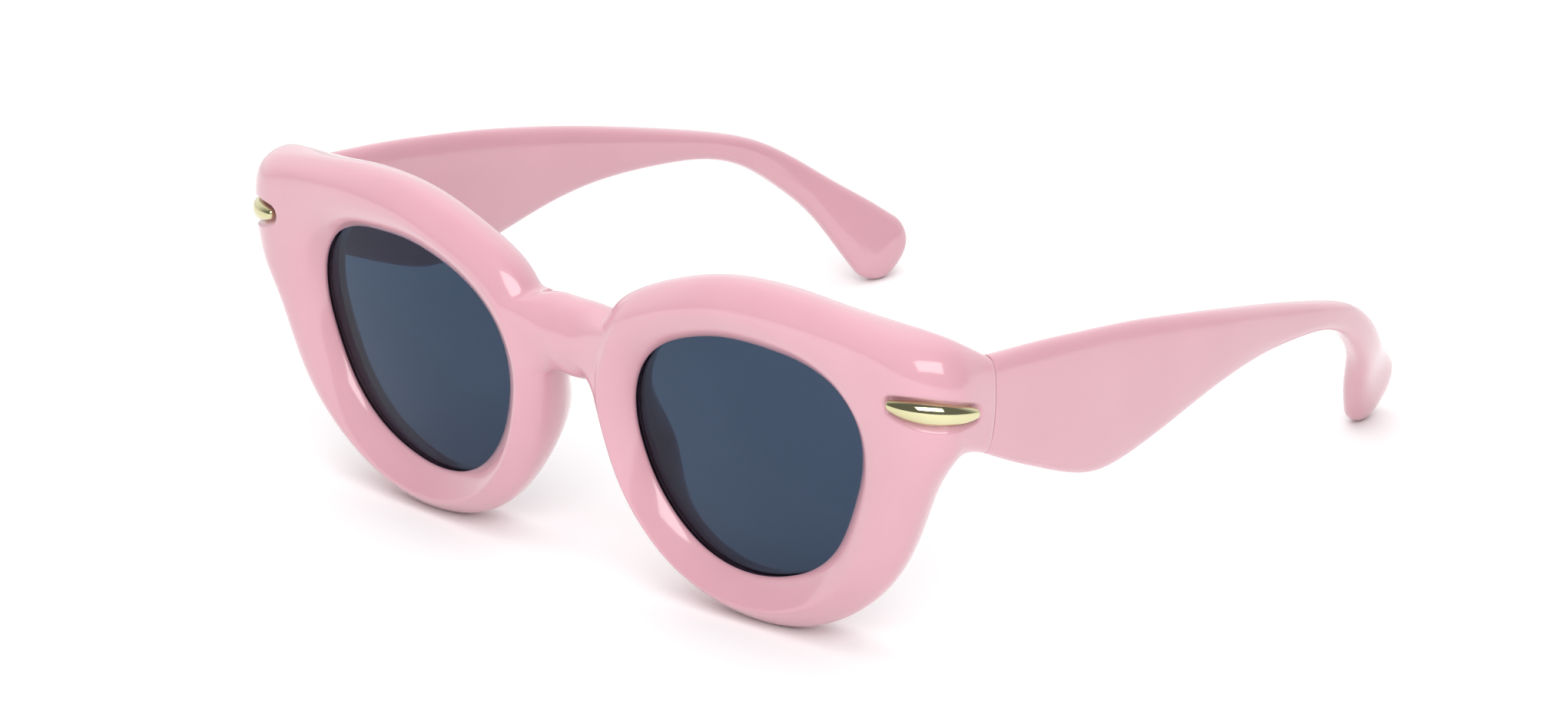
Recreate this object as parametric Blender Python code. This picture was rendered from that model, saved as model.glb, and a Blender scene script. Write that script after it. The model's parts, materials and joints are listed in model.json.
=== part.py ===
"""Cat eye sunglasses: thick inflated-look front, tinted lenses, wide folding temples.

Everything is drawn in the front's own frame: x to the wearer's left, y backwards from the
lens plane, z up, with the lens centres at y = 0 and z = 0.  One empty then leans that frame
forward and lifts it, so that the rims' lowest points and the temple tips stand on z = 0.
"""

import math

import bmesh
import bpy
from mathutils import Matrix, Vector

MM = 0.001

# ---- stance: how the front's frame sits in the world -------------------------------------
LEAN = math.radians(3.55)
LIFT = 27.52 * MM
SET_BACK = -64.55 * MM

# ---- front -------------------------------------------------------------------------------
LENS_X = 36.2
WRAP = math.radians(3.24)
BASE_CURVE = 152.0
LIP_RADIUS = [22.0, 24.2, 20.9, 18.8, 19.6, 22.4, 22.6, 21.6, 21.3, 20.3, 20.0, 20.4]
RIM_RADIUS = [
    (0, 33.8), (11, 38.3), (22, 41.7), (32, 42.9), (41, 38.8), (50, 34.8), (62, 31.6),
    (75, 29.4), (90, 28.3), (108, 28.0), (124, 28.9), (140, 31.0), (155, 31.8),
    (172, 31.3), (186, 29.7), (204, 28.9), (228, 28.5), (264, 28.0), (300, 28.5),
    (325, 29.9), (348, 31.9),
]
STATIONS = [
    0, 10, 16, 22, 28, 34, 42, 54, 68, 84, 100, 116, 130, 141,
    150, 158, 166, 174, 184, 198, 214, 232, 250, 268, 286, 304, 322, 341,
]
LEG_STATIONS = [10, 16, 22, 28, 34]
LEG_CENTRE = 22
LEG_SPREAD = 15
TOP_CENTRE = 34
TOP_SPREAD = 8
BRIDGE_STATIONS = [150, 158, 166, 174]
LIP_BACK = 0.5
LENS_THICK = 1.6
GAP = 0.3
GROOVE_DEEP = 1.1
LIP_CREASE = 1.0
BRIDGE_CREASE = 0.45

BRIDGE_CENTRE = (2.6, 9.9)
BRIDGE_HALF = (4.7, 6.4)
BRIDGE_ROOT_X = 4.2
BRIDGE_ANGLES = [140, 115, 90, 65, 40, 13, -13, -40, -65, -90, -115, -140, -167, 167]

# ---- temples -----------------------------------------------------------------------------
# top and bottom edge of each section, from the butt end to the tip
TEMPLE_EDGES = [
    ((72.85, 15.83, 19.8), (72.85, 13.33, 5.1)), ((72.85, 21.3, 18.9), (72.85, 18.6, 1.9)),
    ((72.85, 28.0, 17.8), (72.85, 25.0, -1.65)), ((72.85, 34.5, 16.55), (72.85, 31.2, -4.8)),
    ((72.7, 39.5, 15.5), (72.7, 36.6, -6.8)), ((72.5, 44.5, 14.4), (72.5, 41.8, -7.4)),
    ((72.3, 50.5, 13.0), (72.3, 48.0, -6.95)), ((72.1, 57.5, 11.15), (72.1, 55.2, -5.9)),
    ((71.7, 65.0, 9.05), (71.7, 63.2, -4.65)), ((71.0, 73.0, 6.65), (71.0, 71.6, -3.9)),
    ((69.9, 81.0, 4.1), (69.9, 79.8, -4.0)), ((68.7, 90.1, 1.05), (68.7, 88.7, -4.95)),
    ((67.4, 98.9, -2.1), (67.4, 97.2, -6.65)), ((65.7, 107.1, -5.65), (65.7, 104.4, -9.9)),
    ((63.3, 114.9, -11.2), (63.3, 110.7, -15.4)), ((60.0, 121.3, -17.2), (60.0, 115.4, -21.6)),
    ((56.9, 126.4, -21.8), (56.9, 118.0, -27.9)), ((54.8, 130.7, -25.9), (54.8, 120.4, -33.2)),
]
TEMPLE_HALF_THICK = 2.35
TEMPLE_TIP = (53.2, 128.8, -33.6)
TIP_TURNS = (30, 55, 75)
PILLOW = 2.5
TEMPLE_SIDES = 14
BUTT_Y = 14.2
BUTT_LEVEL = 12.5
BUTT_SLOPE = 0.17
BUTT_SHARES = (-0.93, -0.5, 0.0, 0.5, 0.93)

# ---- hinge -------------------------------------------------------------------------------
PIVOT = (68.7, 14.4, 13.0)
KNUCKLE_RADIUS = 1.45
KNUCKLE_HIGH = 2.3
PIVOT_RADIUS = 0.65
LEAF_THICK = 0.9
FRONT_SEAT_Y = 9.5
TEMPLE_SEAT_X = 70.9
FRONT_LEAF = (61.8, 69.0, 7.4)
TEMPLE_LEAF = (16.6, 25.4, 6.0)
TEMPLE_LEAF_Z = PIVOT[2] - 0.6
FIXING_RADIUS = 0.6
FIXING_HEAD = 1.05
HEAD_THICK = 0.55
FRONT_FIXING_RISE = 1.9
FRONT_FIXING_LONG = 4.2
TEMPLE_FIXING_LONG = 2.9
CORE_RADIUS = 0.7
CORE_LENGTH = 50.0
CORE_AIM = (72.2, 66.0, 3.4)

# ---- trim --------------------------------------------------------------------------------
ACCENT_CORNER = (66.2, 9.85)
ACCENT_BEND = 9.35
ACCENT_START = 0.6
ACCENT_LENGTH = 14.5
ACCENT_HALF_HIGH = 1.85
ACCENT_PROUD = 1.3
ACCENT_SINK = 1.4
ACCENT_FRONT_Z, ACCENT_SIDE_Z = 16.05, 13.3
PAD_START, PAD_END = 176, 226
PAD_OFF = 0.35

SIDES = {"left": 1, "right": -1}


# ---- small helpers -----------------------------------------------------------------------
def clear_scene():
    for obj in list(bpy.data.objects):
        bpy.data.objects.remove(obj, do_unlink=True)


def make_material(name, colour, roughness, metallic=0.0, alpha=1.0):
    material = bpy.data.materials.new(name)
    material.use_nodes = True
    shader = material.node_tree.nodes["Principled BSDF"]
    shader.inputs["Base Color"].default_value = (*colour, 1.0)
    shader.inputs["Roughness"].default_value = roughness
    shader.inputs["Metallic"].default_value = metallic
    shader.inputs["Alpha"].default_value = alpha
    return material


def make_object(name, mesh, material, parent, origin=(0.0, 0.0, 0.0)):
    """Put a mesh drawn in front-frame millimetres into the scene, in metres."""
    mesh.transform(Matrix.Scale(MM, 4) @ Matrix.Translation(-Vector(origin)))
    mesh.materials.clear()
    mesh.materials.append(material)
    obj = bpy.data.objects.new(name, mesh)
    bpy.context.scene.collection.objects.link(obj)
    obj.parent = parent
    return obj


def mesh_from(bm, name="shape"):
    bm.normal_update()
    bmesh.ops.recalc_face_normals(bm, faces=bm.faces)
    mesh = bpy.data.meshes.new(name)
    bm.to_mesh(mesh)
    bm.free()
    return mesh


def smooth(mesh, angle=40):
    mesh.shade_smooth()
    mesh.set_sharp_from_angle(angle=math.radians(angle))


def loft(rings, closed=False):
    """Skin equal rings of points; open skins get a face at each end."""
    bm = bmesh.new()
    loops = [[bm.verts.new(point) for point in ring] for ring in rings]
    count = len(rings[0])
    pairs = list(zip(loops, loops[1:]))
    if closed:
        pairs.append((loops[-1], loops[0]))
    for low, high in pairs:
        for k in range(count):
            j = (k + 1) % count
            bm.faces.new((low[k], low[j], high[j], high[k]))
    if not closed:
        bm.faces.new(loops[0])
        bm.faces.new(loops[-1])
    return bm


def box(low, high):
    bm = bmesh.new()
    bmesh.ops.create_cube(bm, size=1.0)
    for vert in bm.verts:
        vert.co = Vector(a + (b - a) * (t + 0.5) for a, b, t in zip(low, high, vert.co))
    return bm


def cylinder(start, end, radius, segments=20, end_radius=None):
    start, end = Vector(start), Vector(end)
    bm = bmesh.new()
    turn = Vector((0, 0, 1)).rotation_difference(end - start).to_matrix().to_4x4()
    bmesh.ops.create_cone(
        bm, cap_ends=True, segments=segments, radius1=radius,
        radius2=radius if end_radius is None else end_radius, depth=(end - start).length,
        matrix=Matrix.Translation((start + end) / 2) @ turn,
    )
    return bm


def boolean(mesh, tool, operation):
    """Join or cut two closed meshes and return the result."""
    base = bpy.data.objects.new("base", mesh)
    other = bpy.data.objects.new("other", tool)
    for obj in (base, other):
        bpy.context.scene.collection.objects.link(obj)
    step = base.modifiers.new("step", "BOOLEAN")
    step.object = other
    step.operation = operation
    step.solver = "EXACT"
    graph = bpy.context.evaluated_depsgraph_get()
    result = bpy.data.meshes.new_from_object(base.evaluated_get(graph))
    for obj in (base, other):
        bpy.data.objects.remove(obj, do_unlink=True)
    return result


# ---- the rim's measures as functions of the angle about the lens centre --------------------
def lip_radius(degrees):
    """Smooth closed curve through the lip radii, which stand every 30 degrees."""
    count = len(LIP_RADIUS)
    total = 0.0
    for k, radius in enumerate(LIP_RADIUS):
        t = math.radians(degrees - 360.0 * k / count)
        weight = 1.0 + math.cos(count / 2 * t)
        weight += 2.0 * sum(math.cos(n * t) for n in range(1, count // 2))
        total += radius * weight / count
    return total


def rim_radius(degrees):
    """Closed Catmull-Rom curve through the rim's outer radii."""
    knots = RIM_RADIUS
    degrees = degrees % 360
    count = len(knots)
    k = max(i for i in range(count) if knots[i][0] <= degrees)
    angles = [knots[(k + i) % count][0] + 360 * ((k + i) // count) for i in (-1, 0, 1, 2)]
    values = [knots[(k + i) % count][1] for i in (-1, 0, 1, 2)]
    span = angles[2] - angles[1]
    slope_a = (values[2] - values[0]) / (angles[2] - angles[0]) * span
    slope_b = (values[3] - values[1]) / (angles[3] - angles[1]) * span
    t = (degrees - angles[1]) / span
    return (
        (2 * t**3 - 3 * t**2 + 1) * values[1] + (t**3 - 2 * t**2 + t) * slope_a
        + (3 * t**2 - 2 * t**3) * values[2] + (t**3 - t**2) * slope_b
    )


def lip_depth(radius):
    return radius * radius / (2.0 * BASE_CURVE)


def rim_point(degrees, radius, depth, side=1):
    """A point given about the lens centre, in the front's frame."""
    u = radius * math.cos(math.radians(degrees))
    v = radius * math.sin(math.radians(degrees))
    x = LENS_X + u * math.cos(WRAP) - depth * math.sin(WRAP)
    y = u * math.sin(WRAP) + depth * math.cos(WRAP)
    return (side * x, y, v)


def rim_section(degrees):
    """Section of the rim: lip, inflated front, shoulder, back, and the lens groove."""
    r = lip_radius(degrees)
    big = rim_radius(degrees)
    b = lip_depth(r)
    turn = (degrees + 180) % 360 - 180
    leg = math.exp(-(((turn - LEG_CENTRE) / LEG_SPREAD) ** 2))
    top = math.exp(-(((turn - TOP_CENTRE) / TOP_SPREAD) ** 2))
    crest_in = (r + 3.4, b - 2.9)
    crest_out = (big - 2.6 - 2.6 * leg, b - 2.7 - 0.4 * leg)
    back_out = (big - 2.8 - 2.1 * leg + 0.7 * top, b + 6.0 + 1.4 * leg)
    back_in = (r + 2.2, b + 6.1)
    return [
        (r, b - 0.3),
        (r + 1.2, b - 1.8),
        crest_in,
        ((crest_in[0] + crest_out[0]) / 2, b - 3.3 - 0.1 * leg),
        crest_out,
        (big - 0.7 - 0.4 * leg, b - 0.9 - 0.45 * leg),
        (big + 1.3 * leg, b + 1.3 + 0.1 * leg),
        (big - 0.9 + 2.7 * leg + 0.3 * top, b + 4.2 + 0.2 * leg + 1.5 * top),
        back_out,
        ((back_in[0] + back_out[0]) / 2, b + 6.4 + 0.5 * leg),
        back_in,
        (r + 0.5, b + 4.9),
        (r + 0.05, b + LIP_BACK + LENS_THICK + 2 * GAP),
        (r + GROOVE_DEEP, b + LIP_BACK + LENS_THICK + 2 * GAP),
        (r + GROOVE_DEEP, b + LIP_BACK),
        (r + 0.05, b + LIP_BACK),
    ]


SECTION_LIP_EDGES = (12, 13, 14, 15)
SHOULDER_FIRST, SHOULDER_LAST = 4, 8
LEG_OUTER, LEG_INNER = 7, 8


def pillow_width(level, half_thick):
    return half_thick * (1.0 - abs(level) ** PILLOW) ** (1.0 / PILLOW)


# ---- front -------------------------------------------------------------------------------
def front_cage():
    """Quad cage of the whole front: two ring-shaped rims, the bridge and the two legs."""
    bm = bmesh.new()
    crease = bm.edges.layers.float.new("crease_edge")
    middle = [
        bm.verts.new((
            0.0,
            BRIDGE_CENTRE[0] + BRIDGE_HALF[0] * math.cos(math.radians(a)),
            BRIDGE_CENTRE[1] + BRIDGE_HALF[1] * math.sin(math.radians(a)),
        ))
        for a in BRIDGE_ANGLES
    ]
    for side in SIDES.values():
        half_front(bm, crease, middle, side)
    return bm


def half_front(bm, crease, middle, side):
    count = len(rim_section(0))
    rings = [
        [bm.verts.new(rim_point(a, rho, depth, side)) for rho, depth in rim_section(a)]
        for a in STATIONS
    ]
    for i, angle in enumerate(STATIONS):
        j = (i + 1) % len(STATIONS)
        after = STATIONS[j]
        in_bridge = angle in BRIDGE_STATIONS and after in BRIDGE_STATIONS
        in_leg = angle in LEG_STATIONS and after in LEG_STATIONS
        for k in range(count):
            m = (k + 1) % count
            if in_bridge and SHOULDER_FIRST <= k < SHOULDER_LAST:
                continue
            if in_leg and k == LEG_OUTER:
                continue
            bm.faces.new((rings[i][k], rings[i][m], rings[j][m], rings[j][k]))
    for k in SECTION_LIP_EDGES:
        for i in range(len(STATIONS)):
            edge = bm.edges.get((rings[i][k], rings[(i + 1) % len(STATIONS)][k]))
            edge[crease] = LIP_CREASE
    add_bridge(bm, crease, rings, middle, side)
    add_leg(bm, crease, rings, side)


def bridge_it(bm, loop_a, loop_b):
    for k in range(len(loop_a)):
        m = (k + 1) % len(loop_a)
        bm.faces.new((loop_a[k], loop_a[m], loop_b[m], loop_b[k]))


def add_bridge(bm, crease, rings, middle, side):
    first, second, third, last = (STATIONS.index(a) for a in BRIDGE_STATIONS)
    span = range(SHOULDER_FIRST, SHOULDER_LAST + 1)
    opening = [rings[first][k] for k in span]
    opening += [rings[second][SHOULDER_LAST], rings[third][SHOULDER_LAST]]
    opening += [rings[last][k] for k in reversed(span)]
    opening += [rings[third][SHOULDER_FIRST], rings[second][SHOULDER_FIRST]]
    root = [
        bm.verts.new((side * BRIDGE_ROOT_X, vert.co.y, vert.co.z)) for vert in middle
    ]
    bridge_it(bm, opening, root)
    bridge_it(bm, root, middle)
    for k in range(len(opening)):
        edge = bm.edges.get((opening[k], opening[(k + 1) % len(opening)]))
        edge[crease] = BRIDGE_CREASE


def add_leg(bm, crease, rings, side):
    """Carry the rim's upper outer corner back to the face that meets the temple."""
    top, bottom = TEMPLE_EDGES[0]
    outer, inner = [], []
    for share in BUTT_SHARES:
        half = pillow_width(share, TEMPLE_HALF_THICK)
        z = (top[2] + bottom[2]) / 2 + share * (top[2] - bottom[2]) / 2
        y = BUTT_Y + BUTT_SLOPE * (z - BUTT_LEVEL)
        outer.append(bm.verts.new((side * (top[0] + half), y, z)))
        inner.append(bm.verts.new((side * (top[0] - half), y, z)))
    ids = [STATIONS.index(a) for a in LEG_STATIONS]
    root = [rings[i][LEG_OUTER] for i in ids] + [rings[i][LEG_INNER] for i in reversed(ids)]
    end = outer + inner[::-1]
    bridge_it(bm, root, end)
    for k in range(len(BUTT_SHARES) - 1):
        bm.faces.new((outer[k], outer[k + 1], inner[k + 1], inner[k]))
    for k in range(len(end)):
        edge = bm.edges.get((end[k], end[(k + 1) % len(end)]))
        edge[crease] = LIP_CREASE


def subdivide_through(mesh, levels, rounds=8):
    """Subdivide so that the smooth surface passes through the cage's own points."""
    obj = bpy.data.objects.new("cage", mesh)
    bpy.context.scene.collection.objects.link(obj)
    step = obj.modifiers.new("smooth", "SUBSURF")
    step.levels = step.render_levels = levels
    goals = [vert.co.copy() for vert in mesh.vertices]
    for _ in range(rounds):
        shape = bpy.data.meshes.new_from_object(evaluated(obj))
        for vert, goal, reached in zip(mesh.vertices, goals, shape.vertices):
            vert.co += goal - reached.co
        mesh.update()
        bpy.data.meshes.remove(shape)
    result = bpy.data.meshes.new_from_object(evaluated(obj))
    bpy.data.objects.remove(obj, do_unlink=True)
    return result


def evaluated(obj):
    bpy.context.view_layer.update()
    return obj.evaluated_get(bpy.context.evaluated_depsgraph_get())


def build_front(pink, stance):
    mesh = subdivide_through(mesh_from(front_cage()), levels=1)
    for side in SIDES.values():
        seat = box(
            (FRONT_LEAF[0] - GAP, FRONT_SEAT_Y, PIVOT[2] - FRONT_LEAF[2] / 2 - GAP),
            (FRONT_LEAF[1] + 1.1, BUTT_Y + 5, PIVOT[2] + FRONT_LEAF[2] / 2 + GAP),
        )
        mesh = boolean(mesh, mirrored(seat, side), "DIFFERENCE")
        for start, end in front_fixings():
            hole = cylinder(start, end, FIXING_RADIUS + GAP, 12)
            mesh = boolean(mesh, mirrored(hole, side), "DIFFERENCE")
        mesh = boolean(mesh, mirrored(accent_body(GAP), side), "DIFFERENCE")
    mesh = boolean(mesh, mesh_from(ground_block()), "DIFFERENCE")
    smooth(mesh)
    return make_object("front_frame", mesh, pink, stance)


def ground_block():
    """Block under the ground, in the front's frame: it leaves a small flat under each rim."""
    bm = box((-60, -30, -10), (60, 40, 0))
    to_front = Matrix.Rotation(-LEAN, 4, "X") @ Matrix.Translation((0, 0, -LIFT / MM))
    bmesh.ops.transform(bm, matrix=to_front, verts=bm.verts)
    return bm


def mirrored(bm, side):
    for vert in bm.verts:
        vert.co.x *= side
    return mesh_from(bm)


# ---- lenses ------------------------------------------------------------------------------
def build_lens(name, side, material, stance):
    rings = []
    for face, shares in ((0, (0.12, 0.4, 0.7, 1.0)), (1, (1.0, 0.7, 0.4, 0.12))):
        for share in shares:
            ring = []
            for k in range(40):
                angle = 9.0 * k
                edge = lip_radius(angle)
                lip = lip_depth(edge) + LIP_BACK + GAP
                radius = share * (edge + GROOVE_DEEP - GAP)
                depth = lip - lip_depth(edge) + lip_depth(radius) + face * LENS_THICK
                ring.append(rim_point(angle, radius, depth, side))
            rings.append(ring)
    mesh = mesh_from(loft(rings))
    smooth(mesh)
    return make_object(name, mesh, material, stance)


# ---- temples -----------------------------------------------------------------------------
def pillow_ring(centre, across, high, sides):
    """Superellipse ring; across and high reach from the centre to its side and its top."""
    ring = []
    for k in range(sides):
        t = 2 * math.pi * (k + 0.5) / sides
        x = math.copysign(abs(math.cos(t)) ** (2 / PILLOW), math.cos(t))
        z = math.copysign(abs(math.sin(t)) ** (2 / PILLOW), math.sin(t))
        ring.append(centre + across * x + high * z)
    return ring


def temple_rings():
    """One ring through each pair of edge points, then a rounded tip."""
    tops = [Vector(top) for top, _ in TEMPLE_EDGES]
    bottoms = [Vector(bottom) for _, bottom in TEMPLE_EDGES]
    centres = [(top + bottom) / 2 for top, bottom in zip(tops, bottoms)]
    last = len(centres) - 1
    rings = []
    for i, centre in enumerate(centres):
        ahead = centres[min(i + 1, last)] - centres[max(i - 1, 0)]
        high = (tops[i] - bottoms[i]) / 2
        across = ahead.cross(high).normalized() * TEMPLE_HALF_THICK
        rings.append(pillow_ring(centre, across, high, TEMPLE_SIDES))
    reach = Vector(TEMPLE_TIP) - centres[last]
    base = rings[-1]
    for turn in TIP_TURNS:
        grow = math.sin(math.radians(turn))
        shrink = math.cos(math.radians(turn)) ** 0.75
        rings.append([centres[last] + reach * grow + (p - centres[last]) * shrink for p in base])
    return rings


def core_line():
    top, bottom = TEMPLE_EDGES[0]
    start = (Vector(top) + Vector(bottom)) / 2
    along = (Vector(CORE_AIM) - start).normalized()
    return start, along


def build_temple(name, side, material, hinge):
    mesh = mirrored(loft(temple_rings()), side)
    start, along = core_line()
    bore = cylinder(start - along, start + along * (CORE_LENGTH + 1.0), CORE_RADIUS + GAP, 12)
    mesh = boolean(mesh, mirrored(bore, side), "DIFFERENCE")
    low, high, tall = TEMPLE_LEAF
    seat = box(
        (TEMPLE_SEAT_X - 3, low - GAP, TEMPLE_LEAF_Z - tall / 2 - GAP),
        (TEMPLE_SEAT_X, high + GAP, TEMPLE_LEAF_Z + tall / 2 + GAP),
    )
    mesh = boolean(mesh, mirrored(seat, side), "DIFFERENCE")
    for start, end in temple_fixings():
        hole = cylinder(start, Vector(end) - Vector((GAP, 0, 0)), FIXING_RADIUS + GAP, 12)
        mesh = boolean(mesh, mirrored(hole, side), "DIFFERENCE")
    smooth(mesh)
    return make_object(name, mesh, material, hinge, hinge_point(side))


def build_core_wire(name, side, material, hinge):
    start, along = core_line()
    mesh = mirrored(cylinder(start + along, start + along * CORE_LENGTH, CORE_RADIUS, 12), side)
    smooth(mesh)
    return make_object(name, mesh, material, hinge, hinge_point(side))


# ---- hinges ------------------------------------------------------------------------------
def hinge_point(side):
    return (side * PIVOT[0], PIVOT[1], PIVOT[2])


def knuckle(level):
    x, y, z = PIVOT
    low = z + level * (KNUCKLE_HIGH + GAP) - KNUCKLE_HIGH / 2
    return cylinder((x, y, low), (x, y, low + KNUCKLE_HIGH), KNUCKLE_RADIUS, 20)


def join_all(parts, side):
    mesh = mirrored(parts[0], side)
    for part in parts[1:]:
        mesh = boolean(mesh, mirrored(part, side), "UNION")
    return mesh


def drill_pivot(mesh, side):
    x, y, z = PIVOT
    reach = 2 * KNUCKLE_HIGH
    bore = cylinder((x, y, z - reach), (x, y, z + reach), PIVOT_RADIUS + GAP, 16)
    return boolean(mesh, mirrored(bore, side), "DIFFERENCE")


def front_fixings():
    """Start and end of each screw that holds the front leaf, head end first."""
    x = FRONT_LEAF[0] + 2.0
    y = FRONT_SEAT_Y + GAP + LEAF_THICK
    levels = (PIVOT[2] + FRONT_FIXING_RISE, PIVOT[2] - FRONT_FIXING_RISE)
    return [((x, y, z), (x, y - FRONT_FIXING_LONG, z)) for z in levels]


def temple_fixings():
    x = TEMPLE_SEAT_X - GAP - LEAF_THICK
    spots = (TEMPLE_LEAF[0] + 3.0, TEMPLE_LEAF[1] - 2.0)
    return [((x, y, TEMPLE_LEAF_Z), (x + TEMPLE_FIXING_LONG, y, TEMPLE_LEAF_Z)) for y in spots]


def build_front_leaf(name, side, material, stance):
    x, y, z = PIVOT
    seat = FRONT_SEAT_Y + GAP
    half = FRONT_LEAF[2] / 2
    plate = box((FRONT_LEAF[0], seat, z - half), (FRONT_LEAF[1], seat + LEAF_THICK, z + half))
    parts = [plate]
    for level in (-1, 1):
        middle = z + level * (KNUCKLE_HIGH + GAP)
        low, high = middle - KNUCKLE_HIGH / 2, middle + KNUCKLE_HIGH / 2
        parts.append(box((x - 0.7, seat + 0.1, low), (FRONT_LEAF[1], y - 0.9, high)))
        parts.append(knuckle(level))
    mesh = drill_pivot(join_all(parts, side), side)
    for start, end in front_fixings():
        hole = cylinder(Vector(start) + Vector((0, 1, 0)), end, FIXING_RADIUS + GAP, 12)
        mesh = boolean(mesh, mirrored(hole, side), "DIFFERENCE")
    smooth(mesh)
    return make_object(name, mesh, material, stance)


def build_temple_leaf(name, side, material, hinge):
    x, y, z = PIVOT
    seat = TEMPLE_SEAT_X - GAP
    low, high, tall = TEMPLE_LEAF
    middle = TEMPLE_LEAF_Z
    plate = box((seat - LEAF_THICK, low, middle - tall / 2), (seat, high, middle + tall / 2))
    arm = box(
        (x - 0.3, y + 0.9, z - KNUCKLE_HIGH / 2),
        (seat - 0.1 - GAP, low + 1.5, z + KNUCKLE_HIGH / 2),
    )
    mesh = drill_pivot(join_all([plate, arm, knuckle(0)], side), side)
    for start, end in temple_fixings():
        hole = cylinder(Vector(start) - Vector((3, 0, 0)), end, FIXING_RADIUS + GAP, 12)
        mesh = boolean(mesh, mirrored(hole, side), "DIFFERENCE")
    smooth(mesh)
    return make_object(name, mesh, material, hinge, hinge_point(side))


def build_screw(name, side, start, end, radius, head, material, parent, origin):
    """Pan-head screw: its head lies just off the leaf, its shank runs into the hole."""
    start, end = Vector(start), Vector(end)
    along = (end - start).normalized()
    top = start - along * (GAP + HEAD_THICK)
    parts = [
        cylinder(start - along * (GAP + 0.1), end - along * 0.5, radius, 12),
        cylinder(top, start - along * GAP, head * 0.8, 16, head),
    ]
    mesh = join_all(parts, side)
    smooth(mesh)
    return make_object(name, mesh, material, parent, origin)


# ---- trim --------------------------------------------------------------------------------
def accent_centre(t):
    """Point and outward direction along the accent, from 0 at the front to 1 at the side."""
    run = ACCENT_LENGTH * t + ACCENT_START
    bend = min(max(run / ACCENT_BEND, 0.0), math.pi / 2)
    outward = Vector((math.sin(bend), -math.cos(bend), 0.0))
    point = Vector((*ACCENT_CORNER, 0.0)) + outward * ACCENT_BEND
    spare = run - bend * ACCENT_BEND
    point += Vector((math.cos(bend), math.sin(bend), 0.0)) * spare
    point.z = ACCENT_FRONT_Z + (ACCENT_SIDE_Z - ACCENT_FRONT_Z) * t
    return point, outward


def accent_body(grow):
    """Almond bar bent round the corner; grow makes the seat that it lies in."""
    rings = []
    count, sides = 10, 8
    up = Vector((0, 0, 1))
    for i in range(count + 1):
        t = i / count
        point, outward = accent_centre(t)
        swell = max(0.2, math.sin(math.pi * t) ** 0.75)
        high = ACCENT_HALF_HIGH * swell + grow
        proud = ACCENT_PROUD * swell + 0.1
        ring = []
        for k in range(sides):
            a = 2 * math.pi * (k + 0.5) / sides
            reach = proud if math.sin(a) > 0 else ACCENT_SINK + grow
            ring.append(point + up * high * math.cos(a) + outward * (reach * math.sin(a) + 0.1))
        rings.append(ring)
    along = (rings[1][0] - rings[0][0]).normalized()
    rings[0] = [p - along * grow for p in rings[0]]
    rings[-1] = [p + Vector((0, 1, 0)) * grow for p in rings[-1]]
    return loft(rings)


def build_accent(name, side, material, stance):
    mesh = mirrored(accent_body(0.0), side)
    smooth(mesh, 60)
    return make_object(name, mesh, material, stance)


def pad_ring(degrees, swell):
    """Nose pad section: its base follows the rim's back, the rest bulges backwards."""
    section = rim_section(degrees)
    back_in, back_mid, back_out, shoulder = (section[k] for k in (10, 9, 8, 7))
    base = [
        (back_in[0], back_in[1] + PAD_OFF),
        (back_mid[0], back_mid[1] + PAD_OFF),
        (back_out[0] + 0.2, back_out[1] + PAD_OFF + 0.1),
        (shoulder[0] + PAD_OFF, shoulder[1] + PAD_OFF),
    ]
    bulge = [
        (shoulder[0] + PAD_OFF + 0.3 * swell, shoulder[1] + PAD_OFF + 1.4 * swell),
        (back_out[0] + 0.5 + 0.4 * swell, back_out[1] + PAD_OFF + 1.5 * swell + 0.2),
        (back_mid[0], back_mid[1] + PAD_OFF + 1.5 * swell + 0.2),
        (back_in[0], back_in[1] + PAD_OFF + 1.0 * swell + 0.1),
    ]
    return base + bulge


def build_pad(name, side, material, stance):
    rings = []
    steps = 8
    for i in range(steps + 1):
        t = i / steps
        degrees = PAD_START + (PAD_END - PAD_START) * t
        swell = max(0.08, math.sin(math.pi * t ** 0.8) ** 0.7)
        rings.append([rim_point(degrees, rho, depth, side) for rho, depth in pad_ring(degrees, swell)])
    mesh = mesh_from(loft(rings))
    smooth(mesh, 60)
    return make_object(name, mesh, material, stance)


# ---- assembly ----------------------------------------------------------------------------
def make_empty(name, location, parent=None):
    empty = bpy.data.objects.new(name, None)
    bpy.context.scene.collection.objects.link(empty)
    empty.location = location
    empty.parent = parent
    return empty


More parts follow.
